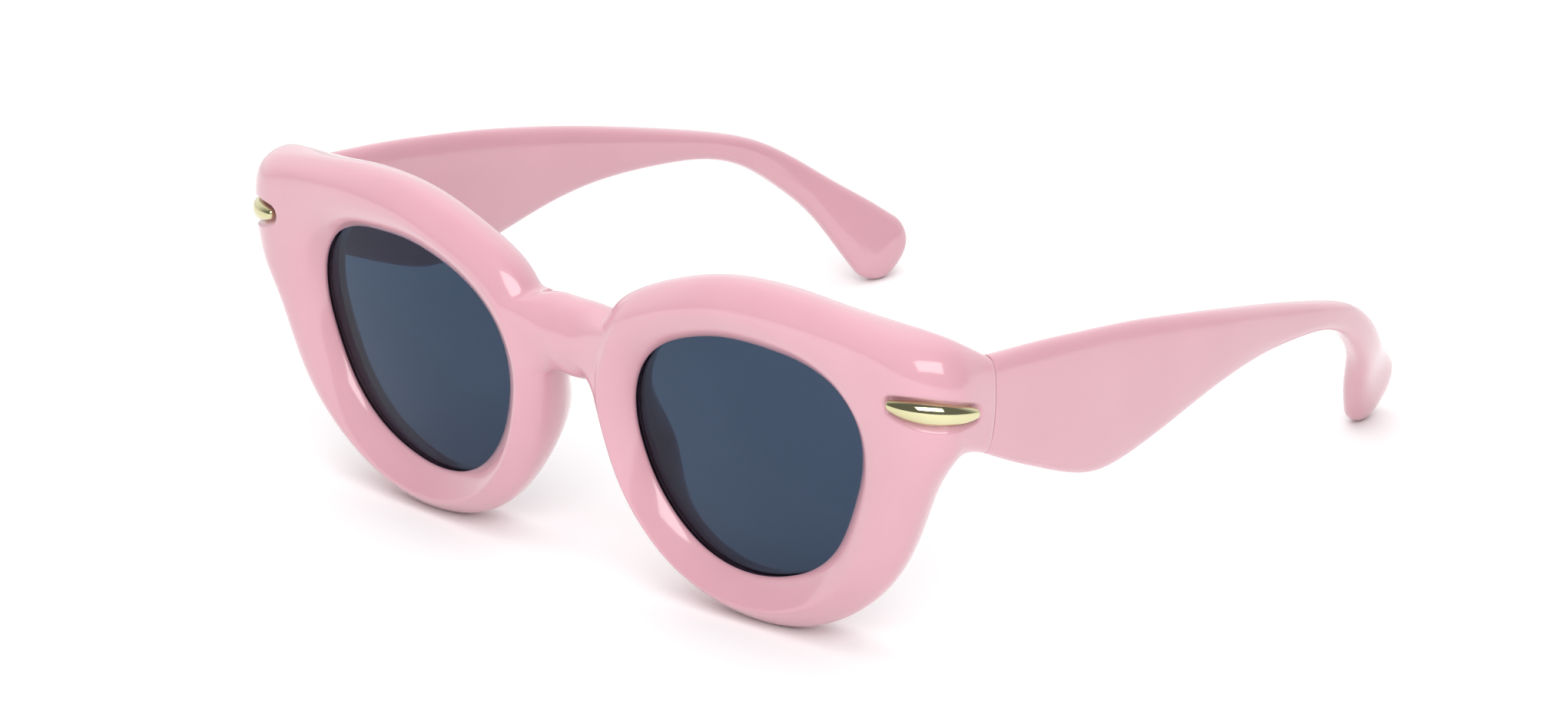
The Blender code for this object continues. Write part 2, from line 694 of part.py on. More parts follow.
def main():
    clear_scene()
    pink = make_material("glossy_pink", (0.83, 0.47, 0.53), 0.12)
    tint = make_material("tinted_lens", (0.05, 0.075, 0.12), 0.05, alpha=0.85)
    gold = make_material("pale_gold", (0.85, 0.78, 0.45), 0.1, metallic=1.0)
    steel = make_material("bright_steel", (0.7, 0.7, 0.72), 0.25, metallic=1.0)

    stance = make_empty("stance", (0.0, SET_BACK, LIFT))
    stance.rotation_euler = (LEAN, 0.0, 0.0)
    build_front(pink, stance)
    for word, side in SIDES.items():
        pivot = hinge_point(side)
        hinge = make_empty("hinge_axis_" + word, Vector(pivot) * MM, stance)
        build_lens("lens_" + word, side, tint, stance)
        build_accent("accent_" + word, side, gold, stance)
        build_pad("nose_pad_" + word, side, pink, stance)
        build_front_leaf("front_hinge_leaf_" + word, side, steel, stance)
        build_temple("temple_" + word, side, pink, hinge)
        build_core_wire("temple_core_wire_" + word, side, steel, hinge)
        build_temple_leaf("temple_hinge_leaf_" + word, side, steel, hinge)
        x, y, z = PIVOT
        reach = 1.5 * KNUCKLE_HIGH + GAP
        build_screw(
            "hinge_screw_" + word, side, (x, y, z + reach), (x, y, z - reach),
            PIVOT_RADIUS, KNUCKLE_RADIUS * 0.9, steel, stance, (0, 0, 0),
        )
        for spot, (start, end) in zip(("upper", "lower"), front_fixings()):
            build_screw(
                "front_leaf_screw_" + spot + "_" + word, side, start, end,
                FIXING_RADIUS, FIXING_HEAD, steel, stance, (0, 0, 0),
            )
        for spot, (start, end) in zip(("fore", "aft"), temple_fixings()):
            build_screw(
                "temple_leaf_screw_" + spot + "_" + word, side, start, end,
                FIXING_RADIUS, FIXING_HEAD, steel, hinge, pivot,
            )


main()
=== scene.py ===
"""Looks of the cat eye sunglasses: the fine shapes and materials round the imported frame.

Shapes are drawn in the front's own frame, in millimetres: x to the wearer's left, y
backwards from the lens plane, z up.  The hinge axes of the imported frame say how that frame
leans and where it stands (STANCE), and add_piece() carries each finished mesh there.
"""

import json
import math

import bmesh
import bpy
import numpy as np
from mathutils import Matrix, Vector


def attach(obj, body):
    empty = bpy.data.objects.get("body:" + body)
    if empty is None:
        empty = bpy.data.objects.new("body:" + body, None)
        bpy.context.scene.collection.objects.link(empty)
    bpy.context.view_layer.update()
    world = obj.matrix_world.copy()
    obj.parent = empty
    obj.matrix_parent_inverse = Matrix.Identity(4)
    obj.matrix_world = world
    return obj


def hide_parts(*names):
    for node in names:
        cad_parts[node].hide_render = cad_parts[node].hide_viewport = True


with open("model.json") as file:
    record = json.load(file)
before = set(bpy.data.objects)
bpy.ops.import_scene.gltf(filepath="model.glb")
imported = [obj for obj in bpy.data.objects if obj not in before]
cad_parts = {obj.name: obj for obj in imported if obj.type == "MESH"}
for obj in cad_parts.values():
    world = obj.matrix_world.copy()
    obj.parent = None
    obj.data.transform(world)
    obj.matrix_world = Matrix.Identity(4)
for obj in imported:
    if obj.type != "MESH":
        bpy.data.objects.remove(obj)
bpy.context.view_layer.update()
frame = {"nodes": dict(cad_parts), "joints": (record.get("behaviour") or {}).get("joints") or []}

MM = 0.001
SIDES = {"left": 1, "right": -1}

# ---- front, in millimetres and degrees -----------------------------------------------------
LENS_X = 36.2
WRAP = math.radians(3.24)
BASE_CURVE = 152.0
# radius of the lens opening every 30 degrees, from the outer side round over the top
LIP_RADIUS = [22.0, 24.2, 20.9, 18.8, 19.6, 22.4, 22.6, 21.6, 21.3, 20.3, 20.0, 20.4]
# (angle, radius) of the rim's outer edge
RIM_RADIUS = [
    (0, 33.8), (11, 38.3), (22, 41.7), (32, 42.9), (41, 38.8), (50, 34.8), (62, 31.6),
    (75, 29.4), (90, 28.3), (108, 28.0), (124, 28.9), (140, 31.0), (155, 31.8),
    (172, 31.3), (186, 29.7), (204, 28.9), (228, 28.5), (264, 28.0), (300, 28.5),
    (325, 29.9), (348, 31.9),
]
# angles of the rim's sections
STATIONS = [
    0, 10, 16, 22, 28, 34, 42, 54, 68, 84, 100, 116, 130, 141,
    150, 158, 166, 174, 184, 198, 214, 232, 250, 268, 286, 304, 322, 341,
]
LEG_STATIONS = [10, 16, 22, 28, 34]
LEG_CENTRE, LEG_SPREAD = 22, 15
LEG_LEVELS = (-0.93, -0.5, 0.0, 0.5, 0.93)
TOP_CENTRE, TOP_SPREAD = 34, 8
PAD_CENTRE, PAD_SPREAD = 195, 21
BRIDGE_STATIONS = [150, 158, 166, 174]
LIP_BACK = 0.5
LENS_THICK = 1.6
GAP = 0.3
GROOVE_PLAY = 0.05
GROOVE_DEEP = 1.1
LENS_AROUND = 120
LENS_ACROSS = 20
BUTT_Y = 14.45
BUTT_SLOPE = 0.17
BUTT_LEVEL = 12.5
BRIDGE_CENTRE = (2.6, 9.9)
BRIDGE_HALF = (4.7, 6.4)
BRIDGE_ROOT_X = 4.2
BRIDGE_CREASE = 0.45
BRIDGE_ANGLES = [140, 115, 90, 65, 40, 13, -13, -40, -65, -90, -115, -140, -167, 167]

# ---- temples: top and bottom edge of each section, from the butt to the tip ------------------
TEMPLE_EDGES = [
    ((72.85, 15.83, 19.8), (72.85, 13.33, 5.1)), ((72.85, 21.3, 18.9), (72.85, 18.6, 1.9)),
    ((72.85, 28.0, 17.8), (72.85, 25.0, -1.65)), ((72.85, 34.5, 16.55), (72.85, 31.2, -4.8)),
    ((72.7, 39.5, 15.5), (72.7, 36.6, -6.8)), ((72.5, 44.5, 14.4), (72.5, 41.8, -7.4)),
    ((72.3, 50.5, 13.0), (72.3, 48.0, -6.95)), ((72.1, 57.5, 11.15), (72.1, 55.2, -5.9)),
    ((71.7, 65.0, 9.05), (71.7, 63.2, -4.65)), ((71.0, 73.0, 6.65), (71.0, 71.6, -3.9)),
    ((69.9, 81.0, 4.1), (69.9, 79.8, -4.0)), ((68.7, 90.1, 1.05), (68.7, 88.7, -4.95)),
    ((67.4, 98.9, -2.1), (67.4, 97.2, -6.65)), ((65.7, 107.1, -5.65), (65.7, 104.4, -9.9)),
    ((63.3, 114.9, -11.2), (63.3, 110.7, -15.4)), ((60.0, 121.3, -17.2), (60.0, 115.4, -21.6)),
    ((56.9, 126.4, -21.8), (56.9, 118.0, -27.9)), ((54.8, 130.7, -25.9), (54.8, 120.4, -33.2)),
]
TEMPLE_HALF_THICK = 2.35
TEMPLE_STEPS = 7
TEMPLE_SIDES = 72
TEMPLE_TIP = (53.2, 128.8, -33.6)
TIP_TURNS = range(6, 90, 6)
TIP_POWER = 0.75
PILLOW = 2.5

# ---- hinge and trim -------------------------------------------------------------------------
PIVOT = (68.7, 14.4, 13.0)
LEAF_THICK = 0.9
KNUCKLE_RADIUS = 1.45
KNUCKLE_HIGH = 2.3
PIVOT_RADIUS = 0.65
FIXING_RADIUS = 0.6
FIXING_HEAD = 1.05
HEAD_THICK = 0.55
# (distance from the top of the head, share of the head's radius)
HEAD_OUTLINE = [
    (0.0, 0.05), (0.0, 0.5), (0.05, 0.72), (0.14, 0.87), (0.27, 0.97), (0.42, 1.0),
    (0.5, 0.97), (HEAD_THICK, 0.9),
]
SHANK_SHORT = 0.5
SHANK_TIP = (0.2, 0.6)
SLOT_HALF = 0.13
SLOT_DEEP = 0.24
SLOT_OPEN = 0.3
SLOT_REACH = 1.3
SLOT_TURN = 25
# lowest x, highest x and height of the front leaf; foremost y, rearmost y and height of the
# temple leaf
FRONT_LEAF = (61.8, 69.0, 7.4)
TEMPLE_LEAF = (16.6, 25.4, 6.0)
TEMPLE_LEAF_Z = PIVOT[2] - 0.6
FRONT_SEAT_Y = 9.5
FRONT_SEAT_PAST = 1.1
FRONT_SEAT_OPEN = 9
FRONT_SEAT_ROUND = 0.5
TEMPLE_SEAT_X = 70.9
TEMPLE_SEAT_OPEN = 4
TEMPLE_SEAT_ROUND = 0.35
FRONT_FIXING_IN = 2.0
FRONT_FIXING_RISE = 1.9
FRONT_FIXING_LONG = 4.2
TEMPLE_FIXING_FORE = 3.0
TEMPLE_FIXING_AFT = 2.0
TEMPLE_FIXING_LONG = 2.9
ACCENT_CORNER = (66.2, 9.85)
ACCENT_BEND = 9.35
ACCENT_START = 0.6
ACCENT_LENGTH = 14.5
ACCENT_HALF_HIGH = 1.85
ACCENT_LEVEL = 16.05
ACCENT_FALL = 2.75
ACCENT_ARCH = 0.3
ACCENT_PROUD = 1.3
ACCENT_SINK = 1.4
ACCENT_LIFT = 0.1
ACCENT_RINGS = 64
ACCENT_SIDES = 40
ACCENT_FINE = 3.4
ACCENT_SKIN = 3.0
MOAT_WIDE = 0.95
MOAT_DEEP = 0.95
MOAT_MARGIN = 0.6
SHARP_ANGLE = math.radians(50)

# ---- in metres --------------------------------------------------------------------------------
GROUND_REACH = 0.003
GROUND_SOFT = 0.00025
CARRIED_WELD = 0.00001
CARRIED_ROUND = 0.0001
FLOOR_HALF = 4.0
FLOOR_DROP = 0.00005


def stance_matrix():
    """The front's frame in the world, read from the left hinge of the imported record."""
    hinge = next(j for j in frame["joints"] if j["name"] == "left_hinge")
    _, lean_y, lean_z = hinge["axis"]
    turn = Matrix.Rotation(math.atan2(-lean_y, lean_z), 4, "X")
    place = Vector(hinge["pos_m"]) - turn @ (Vector(PIVOT) * MM)
    return Matrix.Translation(place) @ turn @ Matrix.Scale(MM, 4)


STANCE = stance_matrix()


# ---- mesh helpers ---------------------------------------------------------------------------
def evaluated(obj):
    bpy.context.view_layer.update()
    return obj.evaluated_get(bpy.context.evaluated_depsgraph_get())


def mesh_from(bm):
    bm.normal_update()
    bmesh.ops.recalc_face_normals(bm, faces=bm.faces)
    mesh = bpy.data.meshes.new("shape")
    bm.to_mesh(mesh)
    bm.free()
    return mesh


def with_modifiers(mesh, *steps):
    """The mesh after a stack of modifiers, each given as (type, settings)."""
    obj = bpy.data.objects.new("work", mesh)
    bpy.context.scene.collection.objects.link(obj)
    for kind, settings in steps:
        step = obj.modifiers.new(kind.lower(), kind)
        for key, value in settings.items():
            setattr(step, key, value)
    result = bpy.data.meshes.new_from_object(evaluated(obj))
    bpy.data.objects.remove(obj, do_unlink=True)
    return result


def cut(mesh, tool):
    other = bpy.data.objects.new("tool", tool)
    bpy.context.scene.collection.objects.link(other)
    mesh = with_modifiers(
        mesh, ("BOOLEAN", {"object": other, "operation": "DIFFERENCE", "solver": "EXACT"})
    )
    bpy.data.objects.remove(other, do_unlink=True)
    return mesh


def round_edges(mesh, width, segments):
    """Round the edges left sharp by grooves, pockets and ends."""
    return with_modifiers(mesh, ("BEVEL", {
        "width": width, "segments": segments, "limit_method": "ANGLE",
        "angle_limit": SHARP_ANGLE,
    }))


def mirrored(bm, side):
    for vert in bm.verts:
        vert.co.x *= side
    return mesh_from(bm)


def loft(rings):
    """Closed skin through rings of equally many points."""
    bm = bmesh.new()
    loops = [[bm.verts.new(point) for point in ring] for ring in rings]
    count = len(rings[0])
    for low, high in zip(loops, loops[1:]):
        for k in range(count):
            j = (k + 1) % count
            bm.faces.new((low[k], low[j], high[j], high[k]))
    bm.faces.new(loops[0])
    bm.faces.new(loops[-1])
    return bm


def rounded_box(low, high, radius=0.0):
    bm = bmesh.new()
    bmesh.ops.create_cube(bm, size=1.0)
    for vert in bm.verts:
        vert.co = Vector(a + (b - a) * (t + 0.5) for a, b, t in zip(low, high, vert.co))
    if radius:
        bmesh.ops.bevel(
            bm, geom=bm.edges[:], offset=radius, segments=3, profile=0.5, affect="EDGES"
        )
    return bm


def lathe(start, end, profile, segments=40):
    """Turned shape from start towards end; the profile is (distance, radius) pairs."""
    start, end = Vector(start), Vector(end)
    along = (end - start).normalized()
    across = along.orthogonal().normalized()
    other = along.cross(across)
    rings = []
    for distance, radius in profile:
        centre = start + along * distance
        ring = []
        for k in range(segments):
            angle = 2 * math.pi * k / segments
            ring.append(centre + (across * math.cos(angle) + other * math.sin(angle)) * radius)
        rings.append(ring)
    return loft(rings)


def add_piece(name, mesh, material, body, slot, *nodes, angle=40):
    """Carry a finished mesh into the world, dress it and let it ride on its body."""
    mesh.transform(STANCE)
    mesh.materials.clear()
    mesh.materials.append(material)
    mesh.shade_smooth()
    mesh.set_sharp_from_angle(angle=math.radians(angle))
    obj = bpy.data.objects.new(name, mesh)
    bpy.context.scene.collection.objects.link(obj)
    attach(obj, body)
    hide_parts(*nodes)


# ---- the rim's measures as functions of the angle about the lens centre -----------------------
def lip_radius(degrees):
    """Smooth closed curve through the lip radii, which stand every 30 degrees."""
    count = len(LIP_RADIUS)
    total = 0.0
    for k, radius in enumerate(LIP_RADIUS):
        t = math.radians(degrees - 360.0 * k / count)
        weight = 1.0 + math.cos(count / 2 * t)
        weight += 2.0 * sum(math.cos(n * t) for n in range(1, count // 2))
        total += radius * weight / count
    return total


def rim_radius(degrees):
    """Closed Catmull-Rom curve through the rim's outer radii."""
    knots = RIM_RADIUS
    degrees = degrees % 360
    count = len(knots)
    k = max(i for i in range(count) if knots[i][0] <= degrees)
    angles = [knots[(k + i) % count][0] + 360 * ((k + i) // count) for i in (-1, 0, 1, 2)]
    values = [knots[(k + i) % count][1] for i in (-1, 0, 1, 2)]
    span = angles[2] - angles[1]
    slope_a = (values[2] - values[0]) / (angles[2] - angles[0]) * span
    slope_b = (values[3] - values[1]) / (angles[3] - angles[1]) * span
    t = (degrees - angles[1]) / span
    return (
        (2 * t**3 - 3 * t**2 + 1) * values[1] + (t**3 - 2 * t**2 + t) * slope_a
        + (3 * t**2 - 2 * t**3) * values[2] + (t**3 - t**2) * slope_b
    )


def lip_depth(radius):
    """How far the lens's curve has fallen back at this radius."""
    return radius * radius / (2.0 * BASE_CURVE)


def rim_point(degrees, radius, depth, side=1):
    """A point given about the lens centre, in the front's frame."""
    u = radius * math.cos(math.radians(degrees))
    v = radius * math.sin(math.radians(degrees))
    x = LENS_X + u * math.cos(WRAP) - depth * math.sin(WRAP)
    y = u * math.sin(WRAP) + depth * math.cos(WRAP)
    return (side * x, y, v)


def bell(degrees, centre, spread):
    """1 at the centre angle, falling smoothly towards 0 on both sides of it."""
    away = (degrees - centre + 180) % 360 - 180
    return math.exp(-(away / spread) ** 2)


def rim_section(degrees):
    """Section of the rim as (radius, depth) points: lip, inflated front, shoulder, back, groove.

    The offsets are in millimetres from the lip radius r, the outer radius big and the lip's
    depth b.  The leg, the upper corner and the nose pad each add their own share to them.
    """
    r = lip_radius(degrees)
    big = rim_radius(degrees)
    b = lip_depth(r)
    groove_front = b + LIP_BACK
    groove_back = b + LIP_BACK + LENS_THICK + 2 * GROOVE_PLAY
    leg = bell(degrees, LEG_CENTRE, LEG_SPREAD)
    pad = bell(degrees, PAD_CENTRE, PAD_SPREAD)
    top = bell(degrees, TOP_CENTRE, TOP_SPREAD)
    wide = big - r
    crest_in = (r + min(3.5, 0.43 * wide), b - 2.95)
    crest_out = (big - min(2.6, 0.32 * wide) - 2.6 * leg, b - 2.7 - 0.4 * leg)
    back_out = (big - 2.8 - 2.1 * leg + 0.7 * top + 0.5 * pad, b + 6.0 + 1.4 * leg + 2.0 * pad)
    back_in = (r + 2.2 - 0.3 * pad, b + 6.1 + 3.4 * pad)
    return [
        (r, b - 0.3),
        (r + 1.35, b - 1.75),
        crest_in,
        ((crest_in[0] + crest_out[0]) / 2, b - 3.3 - 0.1 * leg),
        crest_out,
        (big - 0.7 - 0.4 * leg, b - 0.9 - 0.45 * leg),
        (big + 1.3 * leg, b + 1.3 + 0.1 * leg),
        (
            big - 0.9 + 2.7 * leg + 0.3 * top + 0.3 * pad,
            b + 4.2 + 0.2 * leg + 1.5 * top + 0.7 * pad,
        ),
        back_out,
        ((back_in[0] + back_out[0]) / 2, b + 6.4 + 0.5 * leg + 3.3 * pad),
        back_in,
        (r + 0.5 + 0.2 * pad, b + 4.9 + 0.8 * pad),
        (r + 0.05, groove_back),
        (r + GROOVE_DEEP, groove_back),
        (r + GROOVE_DEEP, groove_front),
        (r + 0.05, groove_front),
    ]


# places in the section: the groove's corners, the shoulder the bridge grows from, and the two
# points the leg grows from
GROOVE_CORNERS = (12, 13, 14, 15)
SHOULDER_FIRST, SHOULDER_LAST = 4, 8
LEG_OUTER, LEG_INNER = 7, 8


def pillow_width(level, half_thick):
    """Half thickness of the temple's section at a level between -1 and 1."""
    return half_thick * (1.0 - abs(level) ** PILLOW) ** (1.0 / PILLOW)


# ---- front ----------------------------------------------------------------------------------
def front_cage():
    """Quad cage of the whole front: two ring-shaped rims, the bridge and the two legs."""
    bm = bmesh.new()
    crease = bm.edges.layers.float.new("crease_edge")
    middle = [
        bm.verts.new((
            0.0,
            BRIDGE_CENTRE[0] + BRIDGE_HALF[0] * math.cos(math.radians(a)),
            BRIDGE_CENTRE[1] + BRIDGE_HALF[1] * math.sin(math.radians(a)),
        ))
        for a in BRIDGE_ANGLES
    ]
    for side in SIDES.values():
        half_front(bm, crease, middle, side)
    return bm


def half_front(bm, crease, middle, side):
    count = len(rim_section(0))
    rings = [
        [bm.verts.new(rim_point(a, radius, depth, side)) for radius, depth in rim_section(a)]
        for a in STATIONS
    ]
    for i, angle in enumerate(STATIONS):
        j = (i + 1) % len(STATIONS)
        after = STATIONS[j]
        in_bridge = angle in BRIDGE_STATIONS and after in BRIDGE_STATIONS
        in_leg = angle in LEG_STATIONS and after in LEG_STATIONS
        for k in range(count):
            m = (k + 1) % count
            if in_bridge and SHOULDER_FIRST <= k < SHOULDER_LAST:
                continue
            if in_leg and k == LEG_OUTER:
                continue
            bm.faces.new((rings[i][k], rings[i][m], rings[j][m], rings[j][k]))
    for k in GROOVE_CORNERS:
        for i in range(len(STATIONS)):
            edge = bm.edges.get((rings[i][k], rings[(i + 1) % len(STATIONS)][k]))
            edge[crease] = 1.0
    add_bridge(bm, crease, rings, middle, side)
    add_leg(bm, crease, rings, side)


def join_loops(bm, loop_a, loop_b):
    for k in range(len(loop_a)):
        m = (k + 1) % len(loop_a)
        bm.faces.new((loop_a[k], loop_a[m], loop_b[m], loop_b[k]))


def add_bridge(bm, crease, rings, middle, side):
    """Grow half of the bridge from the rim's nasal shoulder to the middle loop."""
    first, second, third, last = (STATIONS.index(a) for a in BRIDGE_STATIONS)
    span = range(SHOULDER_FIRST, SHOULDER_LAST + 1)
    opening = [rings[first][k] for k in span]
    opening += [rings[second][SHOULDER_LAST], rings[third][SHOULDER_LAST]]
    opening += [rings[last][k] for k in reversed(span)]
    opening += [rings[third][SHOULDER_FIRST], rings[second][SHOULDER_FIRST]]
    root = [
        bm.verts.new((side * BRIDGE_ROOT_X, vert.co.y, vert.co.z)) for vert in middle
    ]
    join_loops(bm, opening, root)
    join_loops(bm, root, middle)
    for k in range(len(opening)):
        edge = bm.edges.get((opening[k], opening[(k + 1) % len(opening)]))
        edge[crease] = BRIDGE_CREASE


def add_leg(bm, crease, rings, side):
    """Carry the rim's upper outer corner back to the face that meets the temple."""
    top, bottom = TEMPLE_EDGES[0]
    outer, inner = [], []
    for level in LEG_LEVELS:
        half = pillow_width(level, TEMPLE_HALF_THICK)
        z = (top[2] + bottom[2]) / 2 + level * (top[2] - bottom[2]) / 2
        y = BUTT_Y + BUTT_SLOPE * (z - BUTT_LEVEL)
        outer.append(bm.verts.new((side * (top[0] + half), y, z)))
        inner.append(bm.verts.new((side * (top[0] - half), y, z)))
    ids = [STATIONS.index(a) for a in LEG_STATIONS]
    root = [rings[i][LEG_OUTER] for i in ids] + [rings[i][LEG_INNER] for i in reversed(ids)]
    end = outer + inner[::-1]
    join_loops(bm, root, end)
    for k in range(len(LEG_LEVELS) - 1):
        bm.faces.new((outer[k], outer[k + 1], inner[k + 1], inner[k]))
    for k in range(len(end)):
        edge = bm.edges.get((end[k], end[(k + 1) % len(end)]))
        edge[crease] = 1.0


def subdivide_through(mesh, levels, rounds=8):
    """Subdivide so that the smooth surface passes through the cage's own points."""
    goals = [vert.co.copy() for vert in mesh.vertices]
    for _ in range(rounds):
        shape = with_modifiers(mesh, ("SUBSURF", {"levels": 1}))
        for vert, goal, reached in zip(mesh.vertices, goals, shape.vertices):
            vert.co += goal - reached.co
        mesh.update()
        bpy.data.meshes.remove(shape)
    return with_modifiers(mesh, ("SUBSURF", {"levels": levels}))


def accent_run(x, y):
    """How far along the accent's bent line a point of the front lies."""
    dx, dy = x - ACCENT_CORNER[0], y - ACCENT_CORNER[1]
    if dy > 0:
        return ACCENT_BEND * math.pi / 2 + dy
    if dx < 0:
        return dx
    return ACCENT_BEND * math.atan2(dx, -dy)


def accent_level(t):
    """Height of the accent's middle line at t, from 0 at its front tip to 1 at its rear tip."""
    arch = math.sin(math.pi * min(max(t, 0.0), 1.0))
    return ACCENT_LEVEL - ACCENT_FALL * t + ACCENT_ARCH * arch


def accent_swell(t):
    """Share of the almond's full height at t, with rounded tips."""
    body = math.sin(math.pi * (0.08 + 0.84 * min(max(t, 0.0), 1.0))) ** 0.7
    tip = min(max(min(t, 1.0 - t) / 0.03, 0.0), 1.0)
    return body * math.sqrt(1.0 - (1.0 - tip) ** 2)


def accent_outline(count=80):
    """Closed outline of the accent laid flat, as (distance along it, height) points."""
    shares = [i / count for i in range(count + 1)]
    run = np.array([ACCENT_LENGTH * t + ACCENT_START for t in shares])
    level = np.array([accent_level(t) for t in shares])
    half = np.array([ACCENT_HALF_HIGH * accent_swell(t) for t in shares])
    upper = np.stack([run, level + half], 1)
    lower = np.stack([run, level - half], 1)
    return np.concatenate([upper, lower[::-1]])


def outline_distance(points, outline):
    """Distance from each point to the outline, negative inside it."""
    start = outline
    end = np.roll(outline, -1, 0)
    span = end - start
    length = np.maximum((span**2).sum(1), 1e-9)
    away = points[:, None] - start[None]
    share = np.clip((away * span).sum(2) / length, 0, 1)
    near = np.sqrt(((away - share[..., None] * span) ** 2).sum(2)).min(1)
    above = (start[None, :, 1] > points[:, None, 1]) != (end[None, :, 1] > points[:, None, 1])
    rise = np.where(np.abs(span[:, 1]) < 1e-9, 1e-9, span[:, 1])
    cross = start[None, :, 0] + (points[:, None, 1] - start[None, :, 1]) * (span[:, 0] / rise)
    inside = ((above & (points[:, None, 0] < cross)).sum(1) % 2) == 1
    return np.where(inside, -near, near)


def near_accent(co, reach):
    """Whether a point of the front's skin lies within reach of an accent."""
    x, y, z = abs(co.x), co.y, co.z
    if x < LENS_X or y > BUTT_Y - 0.5:
        return False
    run = accent_run(x, y)
    out = math.hypot(x - ACCENT_CORNER[0], min(y - ACCENT_CORNER[1], 0.0))
    t = (run - ACCENT_START) / ACCENT_LENGTH
    return (
        -reach < run < ACCENT_LENGTH + reach
        and abs(z - accent_level(t)) < ACCENT_HALF_HIGH + reach
        and out > ACCENT_BEND - ACCENT_SKIN
    )


def sink_accent_seats(bm):
    """Refine the front round each accent and press a soft-edged moat into it."""
    faces = [f for f in bm.faces if near_accent(f.calc_center_median(), ACCENT_FINE)]
    edges = {edge for face in faces for edge in face.edges}
    bm.normal_update()
    bmesh.ops.subdivide_edges(bm, edges=list(edges), cuts=1, use_grid_fill=True, smooth=1.0)
    bm.normal_update()
    verts = [v for v in bm.verts if near_accent(v.co, MOAT_WIDE + MOAT_MARGIN)]
    flat = np.array([(accent_run(abs(v.co.x), v.co.y), v.co.z) for v in verts])
    distance = outline_distance(flat, accent_outline())
    for vert, away in zip(verts, distance):
        share = min(max(away / MOAT_WIDE, 0.0), 1.0)
        depth = MOAT_DEEP * (0.5 + 0.5 * math.cos(math.pi * share))
        vert.co -= vert.normal * depth


def rest_on_ground(mesh):
    """Press what would pass through the ground softly flat, just above it."""
    up = STANCE.inverted()
    for vert in mesh.vertices:
        world = STANCE @ vert.co
        if world.z < GROUND_REACH:
            world.z = (world.z + math.hypot(world.z, GROUND_SOFT)) / 2
            vert.co = up @ world


def build_front(material):
    mesh = subdivide_through(mesh_from(front_cage()), levels=3)
    bm = bmesh.new()
    bm.from_mesh(mesh)
    sink_accent_seats(bm)
    mesh = mesh_from(bm)
    for side in SIDES.values():
        low, high, tall = FRONT_LEAF
        seat = rounded_box(
            (low - GAP, FRONT_SEAT_Y, PIVOT[2] - tall / 2 - GAP),
            (high + FRONT_SEAT_PAST, BUTT_Y + FRONT_SEAT_OPEN, PIVOT[2] + tall / 2 + GAP),
            FRONT_SEAT_ROUND,
        )
        mesh = cut(mesh, mirrored(seat, side))
    rest_on_ground(mesh)
    mesh = round_edges(mesh, 0.16, 2)
    add_piece(
        "front_moulding", mesh, material, "front", "front_plastic",
        "front_frame", "nose_pad_left", "nose_pad_right", angle=60,
    )


# ---- lenses ---------------------------------------------------------------------------------
def lens_face(bm, start, side):
    """One curved face of a lens, starting at this depth in its middle; gives its outer ring."""
    rings = []
    for step in range(LENS_ACROSS):
        share = (step + 1) / LENS_ACROSS
        ring = []
        for k in range(LENS_AROUND):
            angle = 360.0 * k / LENS_AROUND
            radius = share * (lip_radius(angle) + GROOVE_DEEP - GAP)
            point = rim_point(angle, radius, start + lip_depth(radius), side)
            ring.append(bm.verts.new(point))
        rings.append(ring)
    middle = bm.verts.new(rim_point(0, 0, start, side))
    for k in range(LENS_AROUND):
        bm.faces.new((middle, rings[0][k], rings[0][(k + 1) % LENS_AROUND]))
    for low, high in zip(rings, rings[1:]):
        join_loops(bm, low, high)
    return rings[-1]


def build_lens(word, side, material):
    bm = bmesh.new()
    front_edge = lens_face(bm, LIP_BACK + GROOVE_PLAY, side)
    back_edge = lens_face(bm, LIP_BACK + GROOVE_PLAY + LENS_THICK, side)
    join_loops(bm, front_edge, back_edge)
    mesh = round_edges(mesh_from(bm), 0.15, 2)
    add_piece(
        "tinted_lens_" + word, mesh, material, "front", "lens_tint", "lens_" + word, angle=50
    )


# ---- temples --------------------------------------------------------------------------------
def spline(stations, steps):
    """Natural cubic spline through the stations, by chord length, steps samples in each span."""
    points = np.array(stations, float)
    count = len(points)
    chord = np.linalg.norm(np.diff(points[:, :3] + points[:, 3:], axis=0), axis=1) / 2
    system = np.zeros((count, count))
    right = np.zeros_like(points)
    system[0, 0] = system[-1, -1] = 1.0
    for i in range(1, count - 1):
        a, b = chord[i - 1], chord[i]
        system[i, i - 1 : i + 2] = a, 2 * (a + b), b
        right[i] = 6 * ((points[i + 1] - points[i]) / b - (points[i] - points[i - 1]) / a)
    curve = np.linalg.solve(system, right)
    samples = []
    for i in range(count - 1):
        h = chord[i]
        for s in range(steps):
            t = s / steps * h
            low, high = points[i], points[i + 1]
            samples.append(
                curve[i] * (h - t) ** 3 / (6 * h) + curve[i + 1] * t**3 / (6 * h)
                + (low / h - curve[i] * h / 6) * (h - t) + (high / h - curve[i + 1] * h / 6) * t
            )
    samples.append(points[-1])
    return samples


def pillow_ring(centre, across, high, sides):
    """Superellipse ring; across and high reach from the centre to its side and top."""
    ring = []
    for k in range(sides):
        t = 2 * math.pi * (k + 0.5) / sides
        x = math.copysign(abs(math.cos(t)) ** (2 / PILLOW), math.cos(t))
        z = math.copysign(abs(math.sin(t)) ** (2 / PILLOW), math.sin(t))
        ring.append(centre + across * x + high * z)
    return ring


